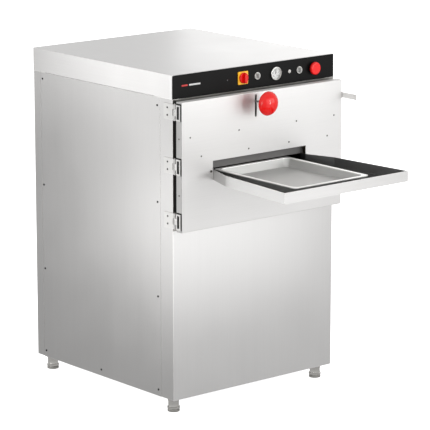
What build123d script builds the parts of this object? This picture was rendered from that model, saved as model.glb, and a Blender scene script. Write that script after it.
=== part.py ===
from build123d import *
import os
from math import cos, radians, sin

# Tray-fed proofing cabinet in folded stainless sheet. Millimetres, +Z up, front faces -Y.
# Origin: on the floor, at the middle of the overall width and depth.

# ---------------------------------------------------------------- driving dimensions
WIDTH = 785
HEIGHT = 1277
BODY_DEPTH = 852
OVERALL_DEPTH = 1380  # back of the body to the front lip of the loading shelf
SHEET = 1.5

FOOT_HEIGHT = 55
FOOT_RADIUS = 24
FOOT_INSET_X = 38
FOOT_INSET_Y = 48

CAP_HEIGHT = 89  # black fascia in front, folded skirt on the other three sides
FRONT_STRIP = 73  # width of each corner post where it shows on the side
REAR_STRIP = 45
SEAM = 1.4  # open joint between a side panel and its posts

DOOR_TOP = 1183
DOOR_BOTTOM = 702
DOOR_STANDOFF = 20  # thickness of the rubber seal behind the door
DOOR_PANEL = 30

SLOT_CENTRE_X = -18
SLOT_WIDTH = 455
SLOT_BOTTOM = 880.5
SLOT_TOP = 952
SHELF_FLOOR = 881
SHELF_WALL = 39
SHELF_SHEET = 1.5
SHELF_KNEE_WIDTH = 535
SHELF_FRONT_WIDTH = 600
SHELF_KNEE_FORWARD = 119  # in front of the door face

TRAY_WIDTH = 360
TRAY_DEPTH = 449
TRAY_HEIGHT = 33

CHAMBER_WIDTH = 660
CHAMBER_BOTTOM = 740
CHAMBER_TOP = 1130
CHAMBER_BACK = 560
INSULATION = 36

CONTROL_Z = 1232
ISOLATOR_X = -60
SELECTOR_XS = (10, 218)
GAUGE_X = 99
LAMP_X = 169
BUTTON_X = 288

HINGE_ZS = (740, 943, 1143)
HINGE_HEIGHT = 58
LATCH_Z = 1124

LEVER_X = -39
LEVER_Z = 1150
SHUTTER_DOWN = 38  # travel from the rest position to shut
SHUTTER_UP = 20

# ---------------------------------------------------------------- positions that follow
HALF = WIDTH / 2
BACK = OVERALL_DEPTH / 2
FRONT = BACK - BODY_DEPTH
SHELF_FRONT = -OVERALL_DEPTH / 2
REAR_FACE = BACK - 2.5  # the rear panel sits in from the cap so that its screw heads stay inside
DOOR_BACK = FRONT - DOOR_STANDOFF
DOOR_FRONT = DOOR_BACK - DOOR_PANEL
CAP_BOTTOM = HEIGHT - CAP_HEIGHT
LINER_HALF = CHAMBER_WIDTH / 2 + SHEET
WOOL_HALF = LINER_HALF + INSULATION
SHELF_REAR = DOOR_FRONT + 22
SHUTTER_Y = (DOOR_BACK - 6, DOOR_BACK - 4)
SHUTTER_BOTTOM = SHELF_FLOOR + 1 + SHUTTER_DOWN
SHUTTER_TOP = SHUTTER_BOTTOM + 83
SHUTTER_X = (SLOT_CENTRE_X - SLOT_WIDTH / 2 - 10, SLOT_CENTRE_X + SLOT_WIDTH / 2 + 10)
TRAY_BOTTOM = SHELF_FLOOR + SHELF_SHEET + 0.5
TRAY_CENTRE_X = -45
TRAY_REAR = DOOR_BACK - 9
FAN_Z = (CHAMBER_BOTTOM + CHAMBER_TOP) / 2
HINGE_X = -HALF + 1.5
HINGE_Y = FRONT - DOOR_STANDOFF / 2
LATCH_Y = (DOOR_FRONT + DOOR_BACK) / 2
KEEPER_REACH = 42  # from the latch pivot back to the keeper stud
MOUTH_HALF = LINER_HALF
FEET = [
    (side * (HALF - FOOT_INSET_X), y)
    for y in (FRONT + FOOT_INSET_Y, BACK - FOOT_INSET_Y)
    for side in (-1, 1)
]


# ---------------------------------------------------------------- small building steps
def block(x, y, z, mode=Mode.ADD):
    """Add or cut a box between the low and high values on each axis."""
    middle = [(pair[0] + pair[1]) / 2 for pair in (x, y, z)]
    with Locations(tuple(middle)):
        Box(x[1] - x[0], y[1] - y[0], z[1] - z[0], mode=mode)


def bar(start, direction, radius, length, mode=Mode.ADD):
    """Add or cut a round bar from a start point along a direction."""
    with Locations(Plane(origin=start, z_dir=direction)):
        Cylinder(radius, length, align=(Align.CENTER, Align.CENTER, Align.MIN), mode=mode)


def screw(head_seat, outward, head_radius=4.0, head_height=2.2, shank_radius=2.0, shank=5.0):
    """A button-head screw: its head stands out of the seat and its shank runs inwards."""
    inward = tuple(-value for value in outward)
    bar(head_seat, outward, head_radius, head_height)
    bar(head_seat, inward, shank_radius, shank)


def save(piece, name):
    """Label a finished piece and write it as the node of that name."""
    piece.part.label = name
    export_step(piece.part, f"parts/{name}.step")


os.makedirs("parts", exist_ok=True)

OUT_LEFT = (-1, 0, 0)
OUT_RIGHT = (1, 0, 0)
OUT_FRONT = (0, -1, 0)
OUT_BACK = (0, 1, 0)
UP = (0, 0, 1)
DOWN = (0, 0, -1)

# ================================================================ base and feet
FRAME_TUBE = 50
FRAME_TOP = FOOT_HEIGHT + 40
FRAME_X = HALF - 5.5
FRAME_Y = (FRONT + 5.5, BACK - 8.5)
TUBE_WALL = 2
STUD_RADIUS = 6

# Welded ring of rectangular tube that carries the cabinet and takes the feet.
with BuildPart() as base_frame:
    block((-FRAME_X, FRAME_X), FRAME_Y, (FOOT_HEIGHT, FRAME_TOP))
    block(
        (-FRAME_X + TUBE_WALL, FRAME_X - TUBE_WALL),
        (FRAME_Y[0] + TUBE_WALL, FRAME_Y[1] - TUBE_WALL),
        (FOOT_HEIGHT + TUBE_WALL, FRAME_TOP - TUBE_WALL),
        mode=Mode.SUBTRACT,
    )
    inner_wall = FRAME_TUBE - TUBE_WALL
    block(
        (-FRAME_X + inner_wall, FRAME_X - inner_wall),
        (FRAME_Y[0] + inner_wall, FRAME_Y[1] - inner_wall),
        (FOOT_HEIGHT, FRAME_TOP),
    )
    block(
        (-FRAME_X + FRAME_TUBE, FRAME_X - FRAME_TUBE),
        (FRAME_Y[0] + FRAME_TUBE, FRAME_Y[1] - FRAME_TUBE),
        (FOOT_HEIGHT, FRAME_TOP),
        mode=Mode.SUBTRACT,
    )
    for foot_x, foot_y in FEET:
        bar((foot_x, foot_y, FOOT_HEIGHT), UP, STUD_RADIUS + 0.2, TUBE_WALL, mode=Mode.SUBTRACT)
save(base_frame, "base_frame")

SLEEVE_BOTTOM = 11
SLEEVE_BORE = 19

# Four stainless foot sleeves, each with a threaded stud up into the frame.
with BuildPart() as foot_sleeves:
    for foot_x, foot_y in FEET:
        bar((foot_x, foot_y, SLEEVE_BOTTOM), UP, FOOT_RADIUS, FOOT_HEIGHT - SLEEVE_BOTTOM)
        bar((foot_x, foot_y, FOOT_HEIGHT), UP, STUD_RADIUS, 14)
        bar(
            (foot_x, foot_y, SLEEVE_BOTTOM),
            UP,
            SLEEVE_BORE,
            FOOT_HEIGHT - SLEEVE_BOTTOM - 4,
            mode=Mode.SUBTRACT,
        )
    chamfer(foot_sleeves.edges().filter_by(GeomType.CIRCLE).filter_by_position(
        Axis.Z, SLEEVE_BOTTOM - 0.1, SLEEVE_BOTTOM + 0.1).group_by(SortBy.RADIUS)[-1], 1)
save(foot_sleeves, "foot_sleeves")

# Each sleeve holds a screwed insert on a round pad; turning it lowers the pad to level the cabinet.
FOOT_NAMES = ("front_left", "front_right", "rear_left", "rear_right")
for foot_name, (foot_x, foot_y) in zip(FOOT_NAMES, FEET):
    with BuildPart() as foot_adjuster:
        bar((foot_x, foot_y, 0), UP, FOOT_RADIUS - 1, 9)
        chamfer(foot_adjuster.edges().filter_by(GeomType.CIRCLE), 1)
        bar((foot_x, foot_y, 9), UP, SLEEVE_BORE - 0.1, 28)
        bar((foot_x, foot_y, 4), UP, 5, 33, mode=Mode.SUBTRACT)
    save(foot_adjuster, f"foot_adjuster_{foot_name}")

# ================================================================ sheet-metal body
with BuildPart() as floor_pan:
    block((-FRAME_X, FRAME_X), FRAME_Y, (FRAME_TOP, FRAME_TOP + SHEET))
    gland_spot = (-250, BACK - 130)
    bar((*gland_spot, FRAME_TOP), UP, 10.2, SHEET, mode=Mode.SUBTRACT)
save(floor_pan, "floor_pan")

SIDE_FRONT = FRONT + FRONT_STRIP
SIDE_BACK = BACK - REAR_STRIP
FLANGE = 30
FRONT_SCREW_ZS = (80, 438, 796, 1156)
REAR_SCREW_ZS = (80, 412, 746, 1162)
FRONT_SCREW_Y = SIDE_FRONT + 17
REAR_SCREW_Y = SIDE_BACK - 13
SIDE_SCREWS = (
    [(FRONT_SCREW_Y, z) for z in FRONT_SCREW_ZS]
    + [(REAR_SCREW_Y, z) for z in REAR_SCREW_ZS]
    + [((SIDE_FRONT + SIDE_BACK) / 2, FRONT_SCREW_ZS[0])]
)
REAR_PANEL_SCREWS = [(side * (HALF - 22), z) for side in (-1, 1) for z in (90, 620, 1160)]
SCREW_CLEARANCE = 2.15


def corner_posts(strip, corner_y, into_body):
    """Two folded posts: face leg, visible side strip, then a joggled flange behind the panel."""
    foot = FOOT_HEIGHT + 1
    face_y = corner_y + into_body * SHEET
    seam_y = corner_y + into_body * strip
    for side in (-1, 1):
        outer = side * HALF
        inner = side * (HALF - SHEET)
        deep = side * (HALF - 2 * SHEET)
        span = (foot, CAP_BOTTOM)
        block(sorted((outer, inner)), sorted((face_y, seam_y)), span)
        block(sorted((outer, side * (HALF - 40))), sorted((face_y, face_y + into_body * SHEET)), span)
        block(
            sorted((inner, deep)),
            sorted((seam_y - into_body * 4, seam_y + into_body * FLANGE)),
            span,
        )


with BuildPart() as front_posts:
    corner_posts(FRONT_STRIP, FRONT, 1)
    for side in (-1, 1):
        for z in FRONT_SCREW_ZS:
            bar((side * HALF, FRONT_SCREW_Y, z), (-side, 0, 0), SCREW_CLEARANCE, 5, mode=Mode.SUBTRACT)
save(front_posts, "front_posts")

with BuildPart() as rear_posts:
    corner_posts(REAR_STRIP - BACK + REAR_FACE, REAR_FACE, -1)
    for side in (-1, 1):
        for z in REAR_SCREW_ZS:
            bar((side * HALF, REAR_SCREW_Y, z), (-side, 0, 0), SCREW_CLEARANCE, 5, mode=Mode.SUBTRACT)
    for x, z in REAR_PANEL_SCREWS:
        bar((x, REAR_FACE, z), OUT_FRONT, SCREW_CLEARANCE, 2 * SHEET, mode=Mode.SUBTRACT)
save(rear_posts, "rear_posts")


def side_panel(side):
    """Flat side sheet, flush with the strips of the posts and open-jointed to them."""
    block(
        sorted((side * HALF, side * (HALF - SHEET))),
        (SIDE_FRONT + SEAM, SIDE_BACK - SEAM),
        (FOOT_HEIGHT, CAP_BOTTOM - SEAM),
    )
    for y, z in SIDE_SCREWS:
        bar((side * HALF, y, z), (-side, 0, 0), SCREW_CLEARANCE, 2 * SHEET, mode=Mode.SUBTRACT)


with BuildPart() as side_panel_left:
    side_panel(-1)
save(side_panel_left, "side_panel_left")

with BuildPart() as side_panel_right:
    side_panel(1)
save(side_panel_right, "side_panel_right")

VENT_LENGTH = 70

# Rear panel over the rear posts, with a field of cooling slots low down and another near the top.
with BuildPart() as rear_panel:
    block((-HALF, HALF), (REAR_FACE - SHEET, REAR_FACE), (FOOT_HEIGHT, CAP_BOTTOM - SEAM))
    with BuildSketch(Plane.XZ.offset(-REAR_FACE)):
        for field_z, rows in ((300, 7), (1120, 4)):
            with Locations((0, field_z)):
                with GridLocations(110, 20, 4, rows):
                    SlotOverall(VENT_LENGTH, 6)
    extrude(amount=2 * SHEET, both=True, mode=Mode.SUBTRACT)
    for x, z in REAR_PANEL_SCREWS:
        bar((x, REAR_FACE, z), OUT_FRONT, SCREW_CLEARANCE, 2 * SHEET, mode=Mode.SUBTRACT)
save(rear_panel, "rear_panel")

# Lower front panel, folded back along its top and bottom edges.
with BuildPart() as lower_front_panel:
    block((-HALF, HALF), (FRONT, FRONT + SHEET), (FOOT_HEIGHT, DOOR_BOTTOM - 2))
    for edge_z in (FRAME_TOP + 4, DOOR_BOTTOM - 2 - SHEET):
        block((-HALF + 42, HALF - 42), (FRONT, FRONT + 16), (edge_z, edge_z + SHEET))
save(lower_front_panel, "lower_front_panel")

# One-piece cap: the top sheet reaches over the fascia, with skirts folded down on three sides.
with BuildPart() as top_cover:
    block((-HALF, HALF), (FRONT, BACK), (CAP_BOTTOM, HEIGHT))
    fillet(top_cover.edges().group_by(Axis.Z)[-1], 2.5)
    block(
        (-HALF + SHEET, HALF - SHEET),
        (FRONT - SHEET, BACK - SHEET),
        (CAP_BOTTOM, HEIGHT - SHEET),
        mode=Mode.SUBTRACT,
    )
    block((-HALF, HALF), (FRONT, FRONT + 4), (CAP_BOTTOM, HEIGHT - 3), mode=Mode.SUBTRACT)
save(top_cover, "top_cover")

FASCIA = 3
FASCIA_TOP = HEIGHT - 3
BARREL_RADIUS = 11
CONTROL_BORES = [ISOLATOR_X, *SELECTOR_XS, GAUGE_X, BUTTON_X]
LAMP_BARREL = 4.5

# Black control fascia with round cut-outs for the controls.
with BuildPart() as control_fascia:
    block((-HALF, HALF), (FRONT, FRONT + FASCIA), (CAP_BOTTOM, FASCIA_TOP))
    for x in CONTROL_BORES:
        bar((x, FRONT, CONTROL_Z), OUT_BACK, BARREL_RADIUS + 0.2, FASCIA, mode=Mode.SUBTRACT)
    bar((LAMP_X, FRONT, CONTROL_Z), OUT_BACK, LAMP_BARREL + 0.2, FASCIA, mode=Mode.SUBTRACT)
save(control_fascia, "control_fascia")

# All the identical black screws of the side and rear panels.
with BuildPart() as panel_screws:
    for side in (-1, 1):
        for y, z in SIDE_SCREWS:
            screw((side * HALF, y, z), (side, 0, 0))
    for x, z in REAR_PANEL_SCREWS:
        screw((x, REAR_FACE, z), OUT_BACK)
save(panel_screws, "panel_screws")

# ================================================================ proofing chamber
MOUTH_Z = (CHAMBER_BOTTOM - SHEET, CHAMBER_TOP + SHEET)

# Front frame that the door seals against, with the mouth of the chamber.
with BuildPart() as mouth_frame:
    block((-HALF, HALF), (FRONT, FRONT + SHEET), (DOOR_BOTTOM - 1, CAP_BOTTOM - 1))
    block((-MOUTH_HALF, MOUTH_HALF), (FRONT, FRONT + SHEET), MOUTH_Z, mode=Mode.SUBTRACT)
save(mouth_frame, "mouth_frame")

LINER_FRONT = FRONT + SHEET
SHAFT_HOLE = 8
PROBE_Y = 240
PROBE_Z = 1060
HEATER_LEG_X = 16
HEATER_RING = 120
HEATER_TUBE = 4
HUMID_Z = CHAMBER_BOTTOM + 22
HUMID_X = 40
HUMID_LEG_Z = HUMID_Z + 20

# Welded liner: five walls, open to the front, with holes for the fan shaft, heaters and probe.
with BuildPart() as chamber_liner:
    block((-LINER_HALF, LINER_HALF), (LINER_FRONT, CHAMBER_BACK + SHEET), MOUTH_Z)
    block(
        (-CHAMBER_WIDTH / 2, CHAMBER_WIDTH / 2),
        (LINER_FRONT, CHAMBER_BACK),
        (CHAMBER_BOTTOM, CHAMBER_TOP),
        mode=Mode.SUBTRACT,
    )
    bar((0, CHAMBER_BACK, FAN_Z), OUT_BACK, SHAFT_HOLE, SHEET, mode=Mode.SUBTRACT)
    bar((-LINER_HALF, PROBE_Y, PROBE_Z), OUT_RIGHT, 3.3, SHEET, mode=Mode.SUBTRACT)
    for side in (-1, 1):
        heater_leg = (side * HEATER_LEG_X, CHAMBER_BACK, FAN_Z - HEATER_RING - 15)
        bar(heater_leg, OUT_BACK, HEATER_TUBE + 0.3, SHEET, mode=Mode.SUBTRACT)
        humid_leg = (side * HUMID_X, CHAMBER_BACK, HUMID_LEG_Z)
        bar(humid_leg, OUT_BACK, HEATER_TUBE + 0.3, SHEET, mode=Mode.SUBTRACT)
save(chamber_liner, "chamber_liner")

WOOL_BACK = CHAMBER_BACK + SHEET + INSULATION

# Mineral-wool jacket round the liner.
with BuildPart() as chamber_insulation:
    block((-WOOL_HALF, WOOL_HALF), (FRONT + 4, WOOL_BACK), (DOOR_BOTTOM, MOUTH_Z[1] + INSULATION))
    block(
        (-LINER_HALF, LINER_HALF), (FRONT + 4, CHAMBER_BACK + SHEET), MOUTH_Z, mode=Mode.SUBTRACT
    )
    bar((0, CHAMBER_BACK, FAN_Z), OUT_BACK, SHAFT_HOLE, 60, mode=Mode.SUBTRACT)
    bar((-HALF, PROBE_Y, PROBE_Z), OUT_RIGHT, 8, 70, mode=Mode.SUBTRACT)
    for side in (-1, 1):
        heater_leg = (side * HEATER_LEG_X, CHAMBER_BACK, FAN_Z - HEATER_RING - 15)
        bar(heater_leg, OUT_BACK, HEATER_TUBE + 1, 60, mode=Mode.SUBTRACT)
        humid_leg = (side * HUMID_X, CHAMBER_BACK, HUMID_LEG_Z)
        bar(humid_leg, OUT_BACK, HEATER_TUBE + 1, 60, mode=Mode.SUBTRACT)
save(chamber_insulation, "chamber_insulation")

TECH_Z = MOUTH_Z[1] + INSULATION + 1

# Sheet over the jacket that closes the chamber off from the control bay.
with BuildPart() as technical_shelf:
    block((-HALF + 4, HALF - 4), (FRONT + 6, BACK - 8), (TECH_Z, TECH_Z + SHEET))
save(technical_shelf, "technical_shelf")

RAIL_TOP = TRAY_BOTTOM - 0.5
RAIL_BACK = 430
RAIL_XS = (TRAY_CENTRE_X - TRAY_WIDTH / 2 + 18, TRAY_CENTRE_X + TRAY_WIDTH / 2 - 18)
CROSSBAR_YS = (FRONT + 60, 260)

# Rack inside the chamber: two rails for the tray on two cross bars between the liner walls.
with BuildPart() as tray_rack:
    for rail_x in RAIL_XS:
        block((rail_x - 10, rail_x + 10), (FRONT + 8, RAIL_BACK), (RAIL_TOP - 2, RAIL_TOP))
        block((rail_x - 1, rail_x + 1), (FRONT + 8, RAIL_BACK), (RAIL_TOP - 14, RAIL_TOP))
    for bar_y in CROSSBAR_YS:
        half = CHAMBER_WIDTH / 2
        block((-half, half), (bar_y - 8, bar_y + 8), (RAIL_TOP - 24, RAIL_TOP - 14))
        for side in (-1, 1):
            wall = sorted((side * half, side * (half - 2)))
            block(wall, (bar_y - 20, bar_y + 20), (RAIL_TOP - 34, RAIL_TOP + 6))
save(tray_rack, "tray_rack")

BAFFLE_FRONT = CHAMBER_BACK - 70
BAFFLE_HALF_X = 190
BAFFLE_Z = (FAN_Z - 146, FAN_Z + 160)

# Baffle over the fan: a folded cover with an air inlet grille in the middle.
with BuildPart() as fan_baffle:
    block((-BAFFLE_HALF_X, BAFFLE_HALF_X), (BAFFLE_FRONT, CHAMBER_BACK), BAFFLE_Z)
    fillet(fan_baffle.edges().filter_by(Axis.Z).group_by(Axis.Y)[0], 4)
    block(
        (-BAFFLE_HALF_X + SHEET, BAFFLE_HALF_X - SHEET),
        (BAFFLE_FRONT + SHEET, CHAMBER_BACK),
        (BAFFLE_Z[0] + SHEET, BAFFLE_Z[1] - SHEET),
        mode=Mode.SUBTRACT,
    )
    with BuildSketch(Plane.XZ.offset(-BAFFLE_FRONT)):
        with Locations((0, FAN_Z)):
            with GridLocations(14, 1, 11, 1):
                SlotOverall(130, 7, rotation=90)
    extrude(amount=2 * SHEET, both=True, mode=Mode.SUBTRACT)
    for side in (-1, 1):
        outlet = (side * (BAFFLE_HALF_X - 5), side * (BAFFLE_HALF_X + 5))
        block(sorted(outlet), (BAFFLE_FRONT + 22, BAFFLE_FRONT + 44), (FAN_Z - 120, FAN_Z + 120),
              mode=Mode.SUBTRACT)
save(fan_baffle, "fan_baffle")

# Sheathed ring heater round the fan, its two ends bent back through the rear wall.
HEATER_Y = CHAMBER_BACK - 35
with BuildPart() as heater_element:
    with BuildLine() as heater_path:
        gap = 8
        start = (HEATER_RING * sin(radians(gap)), HEATER_Y, FAN_Z - HEATER_RING * cos(radians(gap)))
        end = (-start[0], start[1], start[2])
        ThreePointArc(start, (0, HEATER_Y, FAN_Z + HEATER_RING), end)
    with BuildSketch(Plane(origin=heater_path.line @ 0, z_dir=heater_path.line % 0)):
        Circle(HEATER_TUBE)
    sweep(path=heater_path.line)
    for side in (-1, 1):
        knee = (side * HEATER_LEG_X, HEATER_Y, FAN_Z - HEATER_RING - 15)
        bar((knee[0], knee[1], knee[2] - HEATER_TUBE), UP, HEATER_TUBE, 15 + HEATER_TUBE + 2)
        bar(knee, OUT_BACK, HEATER_TUBE, WOOL_BACK + 12 - HEATER_Y)
save(heater_element, "heater_element")

MOTOR_Y = WOOL_BACK + 6

# Fan motor on a square plate behind the jacket.
with BuildPart() as fan_motor:
    block((-60, 60), (WOOL_BACK, MOTOR_Y), (FAN_Z - 60, FAN_Z + 60))
    bar((0, MOTOR_Y, FAN_Z), OUT_BACK, 44, 62)
    chamfer(fan_motor.faces().sort_by(Axis.Y)[-1].edges(), 4)
    bar((0, WOOL_BACK, FAN_Z), OUT_BACK, 4.05, 30, mode=Mode.SUBTRACT)
save(fan_motor, "fan_motor")

ROTOR_Y = CHAMBER_BACK - 52
ROTOR_DEPTH = 34

# Centrifugal rotor on the motor shaft: back disc, hub and straight blades.
with BuildPart() as fan_rotor:
    bar((0, ROTOR_Y + ROTOR_DEPTH, FAN_Z), OUT_FRONT, 80, 1.5)
    bar((0, ROTOR_Y + 4, FAN_Z), OUT_BACK, 14, ROTOR_DEPTH - 4)
    with BuildSketch(Plane.XZ.offset(-ROTOR_Y)):
        with Locations((0, FAN_Z)):
            with PolarLocations(64, 12):
                Rectangle(28, 2)
    extrude(amount=-ROTOR_DEPTH)
    bar((0, ROTOR_Y + ROTOR_DEPTH, FAN_Z), OUT_BACK, 4, WOOL_BACK + 20 - ROTOR_Y - ROTOR_DEPTH)
save(fan_rotor, "fan_rotor")

PAN_Y = (120, 400)
PAN_HALF_X = 150
PAN_Z = (CHAMBER_BOTTOM + 2, CHAMBER_BOTTOM + 36)

# Loose water pan on the chamber floor.
with BuildPart() as water_pan:
    block((-PAN_HALF_X, PAN_HALF_X), PAN_Y, PAN_Z)
    fillet(water_pan.edges().filter_by(Axis.Z), 12)
    offset(amount=-SHEET, openings=water_pan.faces().sort_by(Axis.Z)[-1])
    block((-120, 120), (PAN_Y[0] + 20, PAN_Y[0] + 30), (CHAMBER_BOTTOM, PAN_Z[0]))
    block((-120, 120), (PAN_Y[1] - 30, PAN_Y[1] - 20), (CHAMBER_BOTTOM, PAN_Z[0]))
save(water_pan, "water_pan")

# Hairpin heater that hangs in the water, its legs running back over the pan's edge.
with BuildPart() as humidifier_heater:
    with BuildLine() as hairpin:
        FilletPolyline(
            (-HUMID_X, PAN_Y[1] - 30, HUMID_Z),
            (-HUMID_X, PAN_Y[0] + 50, HUMID_Z),
            (HUMID_X, PAN_Y[0] + 50, HUMID_Z),
            (HUMID_X, PAN_Y[1] - 30, HUMID_Z),
            radius=30,
        )
    with BuildSketch(Plane(origin=hairpin.line @ 0, z_dir=hairpin.line % 0)):
        Circle(HEATER_TUBE)
    sweep(path=hairpin.line)
    for side in (-1, 1):
        low = (side * HUMID_X, PAN_Y[1] - 30, HUMID_Z - HEATER_TUBE)
        bar(low, UP, HEATER_TUBE, HUMID_LEG_Z - HUMID_Z + 2 * HEATER_TUBE)
        high = (side * HUMID_X, PAN_Y[1] - 30, HUMID_LEG_Z)
        bar(high, OUT_BACK, HEATER_TUBE, WOOL_BACK + 12 - high[1])
save(humidifier_heater, "humidifier_heater")

# Temperature probe through the left wall, with a hexagon seat inside the chamber.
with BuildPart() as temperature_probe:
    bar((-HALF + 14, PROBE_Y, PROBE_Z), OUT_RIGHT, 3, 130)
    with BuildSketch(Plane(origin=(-CHAMBER_WIDTH / 2, PROBE_Y, PROBE_Z), z_dir=OUT_RIGHT)):
        RegularPolygon(7, 6)
    extrude(amount=6)
save(temperature_probe, "temperature_probe")

# ================================================================ electrics
BOX_Y = (-60, 140)
BOX_X = (-190, 190)

# Closed steel box for the controller, on the sheet over the chamber.
with BuildPart() as control_box:
    block(BOX_X, BOX_Y, (TECH_Z + SHEET, TECH_Z + SHEET + 72))
    fillet(control_box.edges().filter_by(Axis.Z), 3)
    block(
        (BOX_X[0] + 2, BOX_X[1] - 2),
        (BOX_Y[0] + 2, BOX_Y[1] - 2),
        (TECH_Z + SHEET + 2, TECH_Z + SHEET + 70),
        mode=Mode.SUBTRACT,
    )
save(control_box, "control_box")

# Mains cable gland through the floor pan, pointing down.
with BuildPart() as cable_gland:
    bar((*gland_spot, FRAME_TOP), UP, 10, SHEET + 8)
    with BuildSketch(Plane.XY.offset(FRAME_TOP)):
        with Locations(gland_spot):
            RegularPolygon(13, 6)
    extrude(amount=-6)
    with BuildSketch(Plane.XY.offset(FRAME_TOP + SHEET)):
        with Locations(gland_spot):
            RegularPolygon(13, 6)
    extrude(amount=4)
    bar((*gland_spot, FRAME_TOP - 6), DOWN, 11.5, 18)
    fillet(cable_gland.faces().sort_by(Axis.Z)[0].edges(), 3)
    bar((*gland_spot, FRAME_TOP - 24), UP, 5, 40, mode=Mode.SUBTRACT)
save(cable_gland, "cable_gland")

ISOLATOR_PLATE = 48
PLATE_FRONT = FRONT - 3

# Yellow square plate of the mains isolator.
with BuildPart() as isolator_plate:
    with BuildSketch(Plane.XZ.offset(-FRONT)):
        with Locations((ISOLATOR_X, CONTROL_Z)):
            RectangleRounded(ISOLATOR_PLATE, ISOLATOR_PLATE, 3)
            Circle(6, mode=Mode.SUBTRACT)
    extrude(amount=3)
    chamfer(isolator_plate.faces().sort_by(Axis.Y)[0].edges(), 0.6)
save(isolator_plate, "isolator_plate")

# Red rotary handle of the isolator: a round skirt with a grip across it, on a short spindle.
with BuildPart() as isolator_knob:
    bar((ISOLATOR_X, PLATE_FRONT - 0.4, CONTROL_Z), OUT_FRONT, 20, 7)
    fillet(isolator_knob.faces().sort_by(Axis.Y)[0].edges(), 2)
    with BuildSketch(Plane.XZ.offset(-(PLATE_FRONT - 6))):
        with Locations((ISOLATOR_X, CONTROL_Z)):
            SlotOverall(37, 12, rotation=90)
    extrude(amount=13)
    fillet(isolator_knob.faces().sort_by(Axis.Y)[0].edges(), 1.5)
    bar((ISOLATOR_X, PLATE_FRONT - 0.4, CONTROL_Z), OUT_BACK, 5, 3.2)
save(isolator_knob, "isolator_knob")

# Metal bezels of the two selector switches, each with its threaded barrel through the fascia.
with BuildPart() as selector_bezels:
    for x in SELECTOR_XS:
        bar((x, FRONT, CONTROL_Z), OUT_FRONT, 14, 4)
        bar((x, FRONT, CONTROL_Z), OUT_BACK, BARREL_RADIUS, FASCIA + 6)
    chamfer(selector_bezels.faces().group_by(Axis.Y)[0].edges(), 1.2)
    for x in SELECTOR_XS:
        bar((x, FRONT - 4, CONTROL_Z), OUT_BACK, 10, 6, mode=Mode.SUBTRACT)
save(selector_bezels, "selector_bezels")

for knob_name, x in zip(("left", "right"), SELECTOR_XS):
    # Black selector turned by a raised bar across it.
    with BuildPart() as selector_knob:
        bar((x, FRONT + 1.7, CONTROL_Z), OUT_FRONT, 9.7, 7.2)
        with BuildSketch(Plane.XZ.offset(-(FRONT - 5))):
            with Locations((x, CONTROL_Z)):
                SlotOverall(18.6, 6, rotation=90)
        extrude(amount=8)
        fillet(selector_knob.faces().sort_by(Axis.Y)[0].edges(), 1)
    save(selector_knob, f"selector_knob_{knob_name}")

GAUGE_RADIUS = 25
GAUGE_RIM = 3

# Dial thermometer: bright case with a flat white face set inside its rim.
with BuildPart() as dial_gauge:
    bar((GAUGE_X, FRONT, CONTROL_Z), OUT_FRONT, GAUGE_RADIUS, 8)
    fillet(dial_gauge.faces().sort_by(Axis.Y)[0].edges(), 1.5)
    bar((GAUGE_X, FRONT - 8, CONTROL_Z), OUT_BACK, GAUGE_RADIUS - GAUGE_RIM, 6, mode=Mode.SUBTRACT)
    bar((GAUGE_X, FRONT, CONTROL_Z), OUT_BACK, BARREL_RADIUS, 30)
    bar((GAUGE_X, FRONT - 2, CONTROL_Z), OUT_FRONT, 1.2, 2.6)
save(dial_gauge, "dial_gauge")

# Thin pointer that turns on the gauge's centre pin.
with BuildPart() as gauge_needle:
    with BuildSketch(Plane.XZ.offset(-(FRONT - 2.6))):
        with Locations((GAUGE_X, CONTROL_Z)):
            Circle(3)
            with Locations((0, 7)):
                Rectangle(1.6, 20)
            Circle(1.28, mode=Mode.SUBTRACT)
    extrude(amount=0.8)
save(gauge_needle, "gauge_needle")

# Flat glass over the gauge face.
with BuildPart() as gauge_glass:
    bar((GAUGE_X, FRONT - 5, CONTROL_Z), OUT_FRONT, GAUGE_RADIUS - GAUGE_RIM, 1.6)
save(gauge_glass, "gauge_glass")

# Small signal lamp: metal ring and domed lens in one body.
with BuildPart() as signal_lamp:
    bar((LAMP_X, FRONT, CONTROL_Z), OUT_FRONT, 6.5, 2)
    bar((LAMP_X, FRONT, CONTROL_Z), OUT_BACK, LAMP_BARREL, 24)
    bar((LAMP_X, FRONT - 2, CONTROL_Z), OUT_FRONT, 4, 2.5)
    fillet(signal_lamp.faces().sort_by(Axis.Y)[0].edges(), 1.8)
save(signal_lamp, "signal_lamp")

# Bezel of the push button, with its barrel through the fascia.
with BuildPart() as button_bezel:
    bar((BUTTON_X, FRONT, CONTROL_Z), OUT_FRONT, 15, 4)
    chamfer(button_bezel.faces().sort_by(Axis.Y)[0].edges(), 1)
    bar((BUTTON_X, FRONT, CONTROL_Z), OUT_BACK, BARREL_RADIUS, FASCIA + 6)
    bar((BUTTON_X, FRONT - 4, CONTROL_Z), OUT_BACK, 8, 13, mode=Mode.SUBTRACT)
save(button_bezel, "button_bezel")

BUTTON_TRAVEL = 5

# Red mushroom push button on its plunger.
with BuildPart() as push_button:
    bar((BUTTON_X, FRONT - 4 - BUTTON_TRAVEL - 1, CONTROL_Z), OUT_FRONT, 24, 10)
    fillet(push_button.faces().sort_by(Axis.Y)[0].edges(), 6)
    bar((BUTTON_X, FRONT - 4 - BUTTON_TRAVEL - 1, CONTROL_Z), OUT_BACK, 7.7, 12)
save(push_button, "push_button")

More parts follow.
